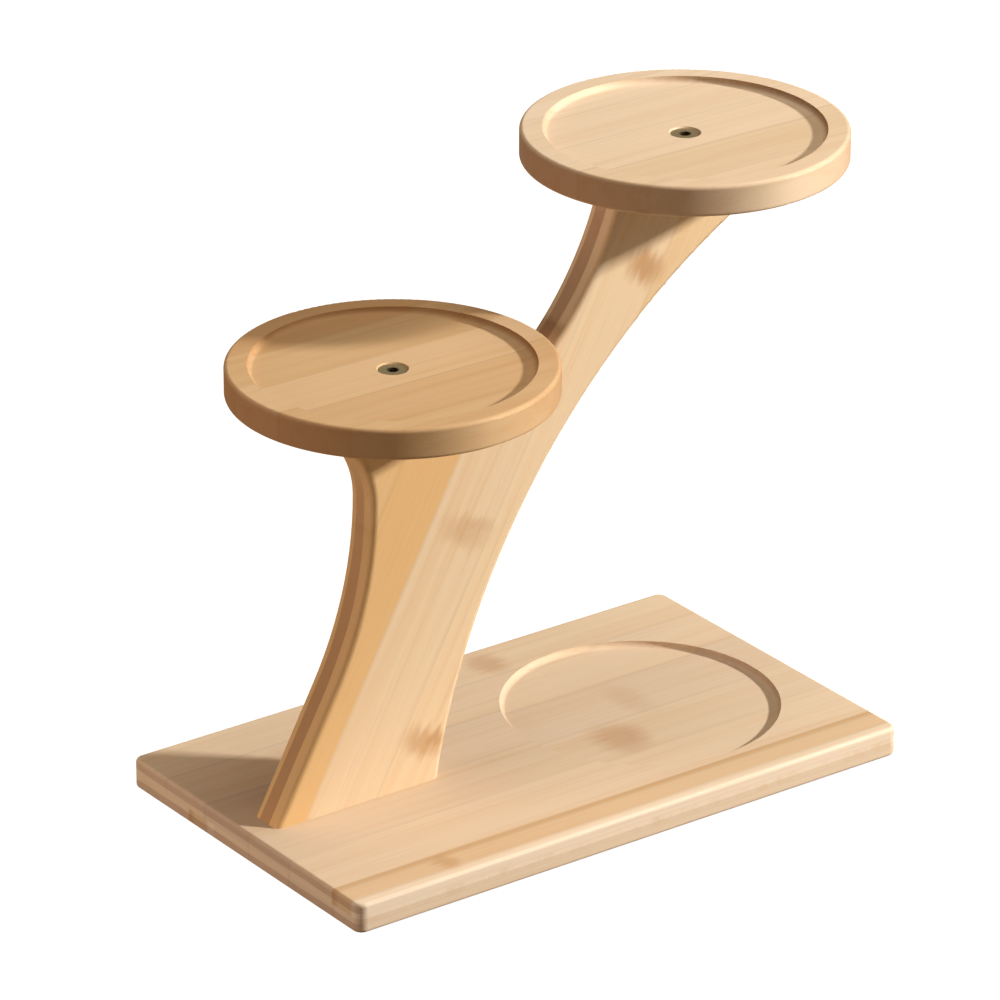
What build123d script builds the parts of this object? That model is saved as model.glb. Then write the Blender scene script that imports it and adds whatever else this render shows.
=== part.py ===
from build123d import *
import math
import os

os.makedirs("parts", exist_ok=True)

# A three-level bamboo stand. A rectangular base lies on the table. A board stands on edge on it, in the
# XZ plane, and branches into two arms, and each arm's flat seat carries a round tray.
# Origin: centre of the base's underside. X runs along the base, Z is up. All sizes are in millimetres.

# Base board
base_length = 253
base_width = 150
base_thickness = 12
base_corner_radius = 4
base_arris_radius = 1.5
base_recess_radius = 54.5
base_recess_margin = 13

# Trays
tray_radius = 62
tray_thickness = 12
tray_arris_radius = 1.5
tray_recess_radius = 53.5
lower_tray_x = -57.5
upper_tray_x = 76.5
lower_seat_height = 171.5
upper_seat_height = 234

# Recesses in the base and in the trays, cut with a round-nosed cutter
recess_depth = 2.4
recess_cove_radius = 2

# Upright board
upright_thickness = 15
upright_arris_radius = 2.4
foot_length = 74
foot_lean = 61.5
waist_from_tray_centre = 14.2
waist_below_seat = 39.5
left_sweep_radius = 150
back_lean = 79.97
arm_lean = 76.57
flare_radius = 34
lower_seat_reach = 35
upper_seat_reach = 36
upper_seat_start = 34.7
upper_seat_end_height = 16
tray_to_arm_gap = 2

# Fasteners: M6 countersunk screws with a hexagon socket, and plain threaded inserts
screw_radius = 3
screw_head_radius = 5.6
screw_head_sink = 0.5
screw_clearance_radius = 3.3
screw_socket_width = 4
screw_socket_depth = 2.2
countersink_angle = 90
tray_screw_length = 24
foot_screw_length = 28
foot_screw_spacing = 36
insert_radius = 4.5
insert_length = 13
insert_bore_radius = 3.05
insert_sink = 0.5
screw_tip_room = 3

# Levels and places that follow from the sizes above
base_top = base_thickness
base_recess_x = base_length / 2 - base_recess_margin - base_recess_radius
tray_floor = tray_thickness - recess_depth
screw_head_height = screw_head_radius - screw_radius

lower_seat = Plane(origin=(lower_tray_x, 0, lower_seat_height))
upper_seat = Plane(origin=(upper_tray_x, 0, upper_seat_height))

# The left edge rises straight from the foot, then sweeps to vertical at the waist.
waist_x = lower_tray_x - waist_from_tray_centre
waist_height = lower_seat_height - waist_below_seat
sweep_angle = 90 - foot_lean
sweep_start_x = waist_x - left_sweep_radius * (1 - math.cos(math.radians(sweep_angle)))
sweep_start_z = waist_height - left_sweep_radius * math.sin(math.radians(sweep_angle))
foot_left = sweep_start_x - (sweep_start_z - base_top) / math.tan(math.radians(foot_lean))
foot_right = foot_left + foot_length
up_the_back = (math.cos(math.radians(back_lean)), math.sin(math.radians(back_lean)))
foot_screw_places = [
    (foot_left + foot_right - foot_screw_spacing) / 2,
    (foot_left + foot_right + foot_screw_spacing) / 2,
]

# Above the waist the edge flares outwards to the end of the lower seat.
lower_seat_end = lower_tray_x - lower_seat_reach
flare_angle = math.degrees(math.acos(1 - (waist_x - lower_seat_end) / flare_radius))

# The upper arm leaves the lower seat just clear of the lower tray's rim. Its edge steepens up to the upper
# seat, where it has its named lean.
arm_start = lower_tray_x + tray_radius + tray_to_arm_gap
down_the_arm = (-math.cos(math.radians(arm_lean)), -math.sin(math.radians(arm_lean)))
upper_seat_left = upper_tray_x - upper_seat_start
upper_seat_right = upper_tray_x + upper_seat_reach

# Centred on a plane's origin and hanging below the plane
below = (Align.CENTER, Align.CENTER, Align.MAX)

# Edges nearer than this to a seat's level lie in the seat.
same_level = 0.01


def cut_recess(board, top, radius):
    """Cuts a shallow round recess with a coved edge into the board that is being built."""
    with Locations(top):
        Cylinder(radius, recess_depth, align=below, mode=Mode.SUBTRACT)
    floor_height = top.origin.Z - recess_depth
    circles = board.edges().filter_by(GeomType.CIRCLE)
    floor_edge = circles.sort_by(lambda edge: abs(edge.center().Z - floor_height))[0]
    fillet(floor_edge, recess_cove_radius)


def drill_countersunk(mouth):
    """Drills a countersunk clearance hole right through the board that is being built."""
    with Locations(mouth):
        CounterSinkHole(
            radius=screw_clearance_radius,
            counter_sink_radius=screw_head_radius + screw_head_sink,
            counter_sink_angle=countersink_angle,
        )


def drill_for_insert(mouth, screw_reach):
    """Drills the insert's pocket, and below it the room that the screw's tip needs."""
    with Locations(mouth):
        Hole(radius=insert_radius, depth=insert_sink + insert_length)
        Hole(radius=screw_clearance_radius, depth=screw_reach + screw_tip_room)


def make_base():
    with BuildPart() as board:
        with BuildSketch():
            Rectangle(base_length, base_width)
        extrude(amount=base_thickness)
        fillet(board.edges().filter_by(Axis.Z), base_corner_radius)
        outline = board.edges().group_by(Axis.Z)[0] + board.edges().group_by(Axis.Z)[-1]
        fillet(outline, base_arris_radius)
        cut_recess(board, Plane(origin=(base_recess_x, 0, base_top)), base_recess_radius)
        for x in foot_screw_places:
            drill_countersunk(Plane(origin=(x, 0, 0), z_dir=(0, 0, -1)))
    return board


def make_upright():
    sweep_centre = (waist_x - left_sweep_radius, waist_height)
    flare_centre = (waist_x - flare_radius, waist_height)
    with BuildPart() as board:
        with BuildSketch(Plane.XZ):
            with BuildLine():
                left = Line((foot_left, base_top), (sweep_start_x, sweep_start_z))
                CenterArc(sweep_centre, left_sweep_radius, -sweep_angle, sweep_angle)
                flare = CenterArc(flare_centre, flare_radius, 0, flare_angle)
                seat_end = Line(flare @ 1, (lower_seat_end, lower_seat_height))
                seat = Line(seat_end @ 1, (arm_start, lower_seat_height))
                arm = TangentArc((upper_seat_left, upper_seat_height), seat @ 1, tangent=down_the_arm)
                top = Line(arm @ 0, (upper_seat_right, upper_seat_height))
                tip = Line(top @ 1, (upper_seat_right, upper_seat_height - upper_seat_end_height))
                back = TangentArc((foot_right, base_top), tip @ 1, tangent=up_the_back)
                Line(back @ 0, left @ 0)
            make_face()
        extrude(amount=upright_thickness / 2, both=True)
        outline = board.edges().group_by(Axis.Y)[0] + board.edges().group_by(Axis.Y)[-1]
        for level in (base_top, lower_seat_height, upper_seat_height):
            outline = outline.filter_by(lambda edge: abs(edge.center().Z - level) > same_level)
        fillet(outline, upright_arris_radius)
        for seat_plane in (lower_seat, upper_seat):
            drill_for_insert(seat_plane, tray_screw_length - tray_floor + screw_head_sink)
        for x in foot_screw_places:
            foot_plane = Plane(origin=(x, 0, base_top), z_dir=(0, 0, -1))
            drill_for_insert(foot_plane, foot_screw_length - base_thickness + screw_head_sink)
    return board


def make_tray(seat_plane):
    with BuildPart() as tray:
        with BuildSketch(seat_plane):
            Circle(tray_radius)
        extrude(amount=tray_thickness)
        fillet(tray.edges().filter_by(GeomType.CIRCLE), tray_arris_radius)
        cut_recess(tray, seat_plane.offset(tray_thickness), tray_recess_radius)
        drill_countersunk(seat_plane.offset(tray_floor))
    return tray


def make_screw(head_top, length):
    """A countersunk screw hanging down from the plane of its head's face."""
    with BuildPart(head_top) as screw:
        Cone(screw_radius, screw_head_radius, screw_head_height, align=below)
        Cylinder(screw_radius, length, align=below)
        with BuildSketch(head_top):
            RegularPolygon(screw_socket_width / 2, 6, major_radius=False)
        extrude(amount=-screw_socket_depth, mode=Mode.SUBTRACT)
    return screw


def make_insert(mouth):
    """A threaded insert, sunk a little below the mouth of its pocket."""
    with BuildPart() as insert:
        with BuildSketch(mouth.offset(-insert_sink)):
            Circle(insert_radius)
            Circle(insert_bore_radius, mode=Mode.SUBTRACT)
        extrude(amount=-insert_length)
    return insert


def write(piece, label):
    piece.part.label = label
    export_step(piece.part, f"parts/{label}.step")


write(make_base(), "base_board")
write(make_upright(), "upright")

for level, seat_plane in (("lower", lower_seat), ("upper", upper_seat)):
    head_top = seat_plane.offset(tray_floor - screw_head_sink)
    write(make_tray(seat_plane), f"{level}_tray")
    write(make_screw(head_top, tray_screw_length), f"{level}_tray_screw")
    write(make_insert(seat_plane), f"{level}_tray_insert")

for side, x in zip(("left", "right"), foot_screw_places):
    under_base = Plane(origin=(x, 0, screw_head_sink), z_dir=(0, 0, -1))
    write(make_screw(under_base, foot_screw_length), f"foot_screw_{side}")
    write(make_insert(Plane(origin=(x, 0, base_top), z_dir=(0, 0, -1))), f"foot_insert_{side}")
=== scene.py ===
import math

import bpy
from mathutils import Matrix, Vector


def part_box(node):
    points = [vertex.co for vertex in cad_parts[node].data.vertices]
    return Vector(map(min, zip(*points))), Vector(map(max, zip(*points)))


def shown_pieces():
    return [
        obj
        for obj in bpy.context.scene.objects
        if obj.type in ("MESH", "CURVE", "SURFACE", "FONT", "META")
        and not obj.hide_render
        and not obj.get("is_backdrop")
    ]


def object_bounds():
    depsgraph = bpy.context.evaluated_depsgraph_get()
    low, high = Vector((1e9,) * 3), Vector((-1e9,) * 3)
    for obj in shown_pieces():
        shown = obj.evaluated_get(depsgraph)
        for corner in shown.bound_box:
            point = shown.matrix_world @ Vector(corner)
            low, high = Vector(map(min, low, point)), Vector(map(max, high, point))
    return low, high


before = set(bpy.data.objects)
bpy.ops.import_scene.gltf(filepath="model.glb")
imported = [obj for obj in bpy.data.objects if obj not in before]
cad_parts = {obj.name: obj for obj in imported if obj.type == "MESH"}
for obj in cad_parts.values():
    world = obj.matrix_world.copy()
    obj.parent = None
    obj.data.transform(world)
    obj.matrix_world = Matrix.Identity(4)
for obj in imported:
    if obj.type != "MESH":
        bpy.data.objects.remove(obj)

cad_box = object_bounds()

# A three-level stand of laminated bamboo: a rectangular base, an upright board that branches into two arms,
# and a round tray on each arm. The CAD nodes carry the shapes. Here they get their woods and metals.
mm = 0.001


def linear(code):
    """An sRGB hex colour as linear RGBA."""
    channels = [int(code[i:i + 2], 16) / 255 for i in (1, 3, 5)]
    curve = [c / 12.92 if c <= 0.04045 else ((c + 0.055) / 1.055) ** 2.4 for c in channels]
    return (*curve, 1)


def add_node(material, kind, inputs=None, **settings):
    """Adds one shader node with its settings. Each input is a value, or another node's output to link."""
    tree = material.node_tree
    node = tree.nodes.new("ShaderNode" + kind)
    for name, value in settings.items():
        setattr(node, name, value)
    for name, value in (inputs or {}).items():
        if isinstance(value, bpy.types.NodeSocket):
            tree.links.new(value, node.inputs[name])
        else:
            node.inputs[name].default_value = value
    return node


def new_material(name):
    """A material that has no nodes yet."""
    material = bpy.data.materials.new(name)
    material.use_nodes = True
    material.node_tree.nodes.clear()
    return material


# Laminated bamboo, with its sizes in millimetres. Each outer ply is a row of strips whose fibres run along
# the board, and the middle ply's fibres run across it, so that the plies swap long grain and end grain from
# side to side. The trays have one ply. A range is the part of a noise that shows, from faintest to fullest.

# Real fibre bundles are about half as wide as this. They are drawn wider so that they show.
fibre_width = 0.9
fibre_length = 70
fibre_range = (0.5, 0.78)
fibre_strength = 0.15
fibre_relief = 0.05

# Streaks are broad darker bands within a strip
streak_width = 6
streak_length = 180
streak_range = (0.45, 0.75)
streak_strength = 0.4

# A glue line is the strip's own tone a little darkened, and fades out over the strip's border
strip_border = 1.0
glue_tone = 0.9

# The middle ply's border wanders, because the strips aren't quite of one thickness
wander_per_mm = 0.03
wander_reach = 0.7
ply_blur = 0.2

# A scar's ends run out unevenly, in tongues that are much longer than they are wide. It is fullest in its
# middle fifth and fades from there.
rag_per_mm = (0.06, 0.45, 0.45)
rag_range = (0.25, 0.75)
rag_reach = 2.4
scar_core = 0.8

scar_brown = "#B27836"
red_brown = "#8E5740"
gold_brown = "#8A551F"
end_grain_falloff = 1.2


def board_axes(material, lean):
    """The axes of a board that is turned by lean degrees about Y: the place in mm, and where it faces."""
    place = add_node(material, "TexCoord")
    turn = (0, math.radians(lean), 0)
    turned = add_node(material, "Mapping", {
        "Vector": place.outputs["Object"],
        "Rotation": turn,
        "Scale": (1 / mm, 1 / mm, 1 / mm),
    })
    turned_normal = add_node(material, "Mapping", {
        "Vector": place.outputs["Normal"],
        "Rotation": turn,
    }, vector_type="NORMAL")
    axes = add_node(material, "SeparateXYZ", {0: turned.outputs[0]})
    facing = add_node(material, "SeparateXYZ", {0: turned_normal.outputs[0]})
    return axes.outputs, facing.outputs


def middle_ply(material, board, depth, thickness):
    """1 inside the middle ply and 0 in the outer ones. depth: how far the place is from the ply's centre."""
    wander = add_node(material, "TexNoise", {"Vector": board, "Scale": wander_per_mm, "Detail": 1.0})
    border = add_node(material, "MapRange", {
        "Value": wander.outputs["Fac"],
        "To Min": thickness / 2 - wander_reach, "To Max": thickness / 2 + wander_reach})
    distance = add_node(material, "Math", {0: depth}, operation="ABSOLUTE")
    past_border = add_node(material, "Math", {
        0: distance.outputs[0], 1: border.outputs[0]}, operation="SUBTRACT")
    inner = add_node(material, "MapRange", {
        "Value": past_border.outputs[0], "From Min": ply_blur, "From Max": -ply_blur})
    return inner.outputs[0]


def grain(material, place, length, width, **detail):
    """Noise that is drawn out along the fibres, to the given length and width."""
    stretched = add_node(material, "Mapping", {
        "Vector": place, "Scale": (1 / length, 1 / width, 1 / width)})
    noise = add_node(material, "TexNoise", {"Vector": stretched.outputs[0], "Scale": 1.0, **detail})
    return noise.outputs["Fac"]


def strip_tones(material, across, depth, stagger, strips):
    """Strips side by side, with a thin glue line between them.

    depth is negative in the far ply, whose strips are moved by the stagger, a share of the board's width.
    """
    start, *widths = strips
    total = sum(width for _, width in widths)
    far_ply = add_node(material, "Math", {0: depth, 1: 0.0}, operation="LESS_THAN")
    staggered = add_node(material, "Math", {
        0: far_ply.outputs[0], 1: total * stagger, 2: across}, operation="MULTIPLY_ADD")
    wrapped = add_node(material, "Math", {
        0: staggered.outputs[0], 1: start + total, 2: start}, operation="WRAP")
    position = add_node(material, "MapRange", {
        "Value": wrapped.outputs[0], "From Min": start, "From Max": start + total})
    tones = add_node(material, "ValToRGB", {0: position.outputs[0]})

    ramp = tones.color_ramp
    ramp.elements.remove(ramp.elements[1])
    ramp.elements[0].color = linear(widths[0][0])
    edge = 0
    for code, width in widths:
        begins = ramp.elements.new((edge + strip_border) / total)
        ends = ramp.elements.new((edge + width - strip_border) / total)
        glue = ramp.elements.new((edge + width) / total)
        begins.color = ends.color = linear(code)
        glue.color = [channel * glue_tone for channel in linear(code)[:3]] + [1]
        edge += width
    return tones.outputs[0]


def end_grain_share(material, inner, along, across, end_grain):
    """How much of the cut fibre ends' colour shows, which is most where the surface cuts fibres square."""
    _, outer_share, middle_share = end_grain
    along_fibres = add_node(material, "Mix", {
        "Factor": inner, 2: along, 3: across}, data_type="FLOAT")
    cut = add_node(material, "Math", {0: along_fibres.outputs[0]}, operation="ABSOLUTE")
    squareness = add_node(material, "Math", {0: cut.outputs[0], 1: end_grain_falloff}, operation="POWER")
    strength = add_node(material, "Mix", {
        "Factor": inner, 2: outer_share, 3: middle_share}, data_type="FLOAT")
    share = add_node(material, "Math", {
        0: squareness.outputs[0], 1: strength.outputs[0]}, operation="MULTIPLY")
    return share.outputs[0]


def with_scars(material, colour, board, along, across, marks):
    """The colour with soft brown smudges over it, where the stem had its joints."""
    ragged = add_node(material, "Mapping", {"Vector": board, "Scale": rag_per_mm})
    rag = add_node(material, "TexNoise", {"Vector": ragged.outputs[0], "Scale": 1.0, "Detail": 4.0})
    pushed = add_node(material, "MapRange", {
        "Value": rag.outputs["Fac"], "From Min": rag_range[0], "From Max": rag_range[1],
        "To Min": -rag_reach, "To Max": rag_reach})
    along_ragged = add_node(material, "Math", {0: pushed.outputs[0], 1: along}, operation="ADD")
    mark_place = add_node(material, "CombineXYZ", {0: along_ragged.outputs[0], 1: across})
    for mark_along, mark_across, half_length, half_width, strength in marks:
        spot = add_node(material, "Mapping", {
            "Vector": mark_place.outputs[0],
            "Location": (-mark_along / half_length, -mark_across / half_width, 0),
            "Scale": (1 / half_length, 1 / half_width, 0)})
        blot = add_node(material, "TexGradient", {0: spot.outputs[0]}, gradient_type="SPHERICAL")
        scar = add_node(material, "MapRange", {
            "Value": blot.outputs["Fac"], "From Max": scar_core, "To Max": strength},
            interpolation_type="SMOOTHSTEP")
        colour = add_node(material, "Mix", {
            "Factor": scar.outputs[0], 6: colour, 7: linear(scar_brown)}, data_type="RGBA").outputs[2]
    return colour


def bamboo(name, across, through, lean, plies, end_grain, streak, strips, marks=()):
    """Planed, sanded bamboo under a satin clear coat: pale strips of uneven tone with a broad, soft sheen.

    across, through: the axes ("X", "Y" or "Z") across the strips and through the plies, once the board is
    turned by lean degrees about Y, which lays its fibres along X. plies: the middle ply's place and
    thickness, and the stagger of the far ply's strips. end_grain: the colour of cut fibre ends, and how much
    of it shows in the outer plies and in the middle one. streak: the colour of the darker streaks. strips:
    where the first strip starts, and then each strip's colour and width. marks: the scars of the stem's
    joints, each with its place along and across, its half length and half width, and its strength.
    """
    material = new_material(name)
    axes, facing = board_axes(material, lean)
    board = add_node(material, "CombineXYZ", {0: axes["X"], 1: axes[across], 2: axes[through]}).outputs[0]
    middle, thickness, stagger = plies
    depth = add_node(material, "Math", {0: axes[through], 1: middle}, operation="SUBTRACT").outputs[0]
    inner = middle_ply(material, board, depth, thickness)

    # Fibres run along X in the outer plies and across it in the middle one
    crosswise = add_node(material, "CombineXYZ", {0: axes[across], 1: axes["X"], 2: axes[through]})
    fibre_place = add_node(material, "Mix", {
        "Factor": inner, 4: board, 5: crosswise.outputs[0]}, data_type="VECTOR").outputs[1]
    fibres = grain(material, fibre_place, fibre_length, fibre_width, Detail=3.0, Roughness=0.65)
    streaks = grain(material, fibre_place, streak_length, streak_width, Detail=2.0)

    # Each strip's tone, with streaks, fibres, end grain and scars over it
    tones = strip_tones(material, axes[across], depth, stagger, strips)
    streak_share = add_node(material, "MapRange", {
        "Value": streaks, "From Min": streak_range[0], "From Max": streak_range[1],
        "To Max": streak_strength})
    streaked = add_node(material, "Mix", {
        "Factor": streak_share.outputs[0], 6: tones, 7: linear(streak)}, data_type="RGBA")
    fibre_share = add_node(material, "MapRange", {
        "Value": fibres, "From Min": fibre_range[0], "From Max": fibre_range[1], "To Max": fibre_strength})
    fibred = add_node(material, "Mix", {
        "Factor": fibre_share.outputs[0], 6: streaked.outputs[2], 7: linear(scar_brown)}, data_type="RGBA")
    end_share = end_grain_share(material, inner, facing["X"], facing[across], end_grain)
    darkened = add_node(material, "Mix", {
        "Factor": end_share, 6: fibred.outputs[2], 7: linear(end_grain[0])}, data_type="RGBA")
    colour = with_scars(material, darkened.outputs[2], board, axes["X"], axes[across], marks)

    # The clear coat follows the fibres, which stand a few hundredths of a millimetre
    relief = add_node(material, "Bump", {
        "Strength": 0.25, "Distance": fibre_relief * mm, "Height": fibres})
    roughness = add_node(material, "MapRange", {"Value": fibres, "To Min": 0.64, "To Max": 0.78})
    shader = add_node(material, "BsdfPrincipled", {
        "Base Color": colour,
        "Roughness": roughness.outputs[0],
        "Normal": relief.outputs[0],
        "IOR": 1.5,
        "Specular IOR Level": 0.35,
        "Coat Weight": 0.05,
        "Coat Roughness": 0.45,
    })
    add_node(material, "OutputMaterial", {0: shader.outputs[0]})
    return material


# Plated steel, with its sizes in millimetres
tarnish_brown = "#6A5636"
# The colour of the painted shade inside a socket or bore, and how softly its edge fades
socket_shade_brown = "#2A1B0A"
shade_blur = 0.3
mottle_per_mm = 1.2
mottle_relief = 0.02


def plated_steel(name, code, axis, roughness, dark_radius):
    """Steel under a thin coloured plating: a dull metal shine, faintly mottled, and dark inside with painted
    shade.

    axis: the middle of the piece, in metres. dark_radius: how far the painted shade reaches from its upright
    axis.
    """
    material = new_material(name)
    place = add_node(material, "TexCoord")
    in_mm = add_node(material, "Mapping", {
        "Vector": place.outputs["Object"],
        "Location": (-axis[0] / mm, -axis[1] / mm, 0),
        "Scale": (1 / mm, 1 / mm, 1 / mm)})
    mottle = add_node(material, "TexNoise", {
        "Vector": in_mm.outputs[0], "Scale": mottle_per_mm, "Detail": 4.0})
    tarnish = add_node(material, "MapRange", {
        "Value": mottle.outputs["Fac"], "From Min": 0.4, "From Max": 0.8, "To Max": 0.5})
    plating = add_node(material, "Mix", {
        "Factor": tarnish.outputs[0], 6: linear(code), 7: linear(tarnish_brown)}, data_type="RGBA")
    # Painted shade: within dark_radius of the axis the colour turns dark brown, standing in for the shade
    # inside a socket or bore
    flat = add_node(material, "VectorMath", {0: in_mm.outputs[0], 1: (1, 1, 0)}, operation="MULTIPLY")
    from_axis = add_node(material, "VectorMath", {0: flat.outputs[0]}, operation="LENGTH")
    painted_shade = add_node(material, "MapRange", {
        "Value": from_axis.outputs["Value"],
        "From Min": dark_radius + shade_blur, "From Max": dark_radius - shade_blur})
    colour = add_node(material, "Mix", {
        "Factor": painted_shade.outputs[0], 6: plating.outputs[2], 7: linear(socket_shade_brown)}, data_type="RGBA")
    rough = add_node(material, "MapRange", {
        "Value": mottle.outputs["Fac"], "To Min": roughness - 0.08, "To Max": roughness + 0.12})
    relief = add_node(material, "Bump", {
        "Strength": 0.3, "Distance": mottle_relief * mm, "Height": mottle.outputs["Fac"]})
    shader = add_node(material, "BsdfPrincipled", {
        "Base Color": colour.outputs[2],
        "Metallic": 1.0,
        "Roughness": rough.outputs[0],
        "Normal": relief.outputs[0],
    })
    add_node(material, "OutputMaterial", {0: shader.outputs[0]})
    return material


def finish(node, material):
    """Gives a CAD node its material."""
    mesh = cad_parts[node].data
    mesh.materials.clear()
    mesh.materials.append(material)


# The base lies flat. Its fibres run along its length, and the upright's run up it, at its lean.
upright_lean = 61.5
finish("base_board", bamboo(
    "laminated_bamboo_base", across="Y", through="Z", lean=0,
    plies=(6, 4, 0.37), end_grain=(red_brown, 0.35, 0), streak="#DBB88F",
    strips=(
        -75, ("#F0DCC2", 4.5), ("#E0C29B", 9.5), ("#D4AF83", 2.5), ("#E7D0B2", 28), ("#E4CDB0", 27),
        ("#E1CAAF", 29), ("#E8D0B2", 26), ("#E9D2B3", 23)),
    marks=(
        (36, -17, 15, 18, 0.38), (44, -19, 8, 12, 0.12), (60, 8, 10, 20, 0.15), (31, 62, 11, 13, 0.38),
        (-80, -65, 7, 8, 0.35)),
))
finish("upright", bamboo(
    "laminated_bamboo_upright", across="Z", through="Y", lean=upright_lean,
    plies=(0.9, 6, 0), end_grain=(red_brown, 0.3, 0.5), streak="#DDB27A",
    strips=(
        -13, ("#DFBB8B", 27), ("#E6C89D", 27), ("#E9CEA8", 27), ("#E8CEAA", 28), ("#E2B87F", 25),
        ("#E3BC85", 27), ("#E4C193", 27)),
    marks=(
        (83, 79, 9, 17, 0.3), (88, 74, 4, 12, 0.2), (2, 57, 9, 14, 0.5), (5, 52, 5, 6, 0.35),
        (199, 48, 10, 13, 0.65)),
))

# A middle ply of negative thickness is never met, so the trays have one ply
no_middle_ply = (0, -2, 0)
tray_strip_start = -62
tray_strip_widths = (22, 26, 27, 26, 23)
trays = (
    # The lower tray's two back strips are darker partly in their own tone and partly as painted shade, where
    # the upper tray's shadow falls
    ("lower_tray", "#CB9B65", ("#DBB789", "#DAB486", "#E0BE93", "#DAB687", "#D2A979")),
    ("upper_tray", "#DAB88C", ("#EBD1B0", "#E8CEAC", "#EDD5B7", "#EED6B9", "#F0DABF")),
)
for tray, streak, tones in trays:
    finish(tray, bamboo(
        "laminated_bamboo_" + tray, across="Y", through="Z", lean=0,
        plies=no_middle_ply, end_grain=(gold_brown, 0.72, 0), streak=streak,
        strips=(tray_strip_start, *zip(tones, tray_strip_widths)),
    ))

# The screws are bronze-coloured, with painted shade in their sockets. The inserts are zinc grey, with painted
# shade in their bores.
socket_radius = 2.2
insert_bore_radius = 3.2
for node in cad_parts:
    low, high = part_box(node)
    axis = (low + high) / 2
    if "screw" in node:
        finish(node, plated_steel(
            "bronze_plated_" + node, "#D2C29C", axis, roughness=0.5, dark_radius=socket_radius))
    if "insert" in node:
        finish(node, plated_steel(
            "zinc_plated_" + node, "#B9BABC", axis, roughness=0.4, dark_radius=insert_bore_radius))


# Camera
camera_turn = math.radians(-36.244)
camera_rise = math.radians(24.285)
camera_roll = math.radians(0.204)
camera_distance = 2.4296
camera_lens = 233.07
aim_from_centre = Vector((-0.012, 0.0035, -0.0096))

low, high = cad_box
centre = (low + high) / 2
aim = centre + aim_from_centre
back = Vector((
    math.sin(camera_turn) * math.cos(camera_rise),
    -math.cos(camera_turn) * math.cos(camera_rise),
    math.sin(camera_rise),
))
camera = bpy.data.objects.new("camera", bpy.data.cameras.new("camera"))
camera.data.lens = camera_lens
camera.data.sensor_width = 36
camera.data.clip_end = 20
turn = back.to_track_quat("Z", "Y").to_matrix().to_4x4()
camera.matrix_world = (
    Matrix.Translation(aim + back * camera_distance) @ turn @ Matrix.Rotation(camera_roll, 4, "Z"))
bpy.context.scene.collection.objects.link(camera)
bpy.context.scene.camera = camera


# Floor: a warm matt card. Where the camera sees it, it is lifted to white. What it throws back on the stand
# keeps its own colour.
floor_side = 12
floor_gap = 0.1 * mm
floor_lift = 1.0
bpy.ops.mesh.primitive_plane_add(size=floor_side, location=(0, 0, -floor_gap))
floor = bpy.context.object
floor.name = "floor"
matt_card = new_material("matt_card")
seen = add_node(matt_card, "LightPath")
lift = add_node(matt_card, "Math", {0: seen.outputs["Is Camera Ray"], 1: floor_lift}, operation="MULTIPLY")
card = add_node(matt_card, "BsdfDiffuse", {"Color": linear("#B8A895")})
glow = add_node(matt_card, "Emission", {"Color": linear("#FFFFFF"), "Strength": lift.outputs[0]})
lifted = add_node(matt_card, "AddShader", {0: card.outputs[0], 1: glow.outputs[0]})
add_node(matt_card, "OutputMaterial", {0: lifted.outputs[0]})
floor.data.materials.append(matt_card)
floor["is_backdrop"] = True


# Light
def softbox(name, towards, distance, size, brightness, colour):
    """A square softbox that faces the stand. A brightness of 1 shows a white card at its own colour."""
    light = bpy.data.objects.new(name, bpy.data.lights.new(name, "AREA"))
    light.data.size = size
    light.data.energy = brightness * (math.pi * distance) ** 2
    light.data.color = linear(colour)[:3]
    direction = Vector(towards).normalized()
    facing = direction.to_track_quat("Z", "Y").to_matrix().to_4x4()
    light.matrix_world = Matrix.Translation(centre + direction * distance) @ facing
    light.visible_camera = False
    bpy.context.scene.collection.objects.link(light)
    return light


# The key stands low, to the stand's right and a little in front. A large box beside it softens its shadows.
near_white = "#FFFCF8"
key_side = Vector((0.79, -0.61, 0))
key_rise = math.radians(23.4)
key_towards = key_side * math.cos(key_rise) + Vector((0, 0, math.sin(key_rise)))
key = softbox("key", key_towards, distance=2.5, size=0.16, brightness=1.3, colour=near_white)
soft_key = softbox(
    "soft_key", key_side + Vector((0, 0, 0.1)), distance=2.0, size=1.4, brightness=0.24, colour=near_white)
softbox("overhead", (0.2, -0.1, 1), distance=1.6, size=1.2, brightness=0.4, colour="#FFF4E4")

# A small box close on the left and a little behind lights the base's end and the upright's edge.
fill = softbox("fill", (-1, 0.25, 0.1), distance=0.8, size=0.3, brightness=0.37, colour="#FFE9DA")

# These three light only the stand, so the floor stays even
stand_only = bpy.data.collections.new("stand_only")
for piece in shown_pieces():
    stand_only.objects.link(piece)
for light in (key, soft_key, fill):
    light.light_linking.receiver_collection = stand_only

# A faint warm light from all round, as from the walls of a room
room_colour = "#FFE6CA"
room_strength = 0.13
world = bpy.data.worlds.new("world")
world.use_nodes = True
background = world.node_tree.nodes["Background"]
background.inputs["Color"].default_value = linear(room_colour)
background.inputs["Strength"].default_value = room_strength
bpy.context.scene.world = world
bpy.context.scene.view_settings.view_transform = "Standard"
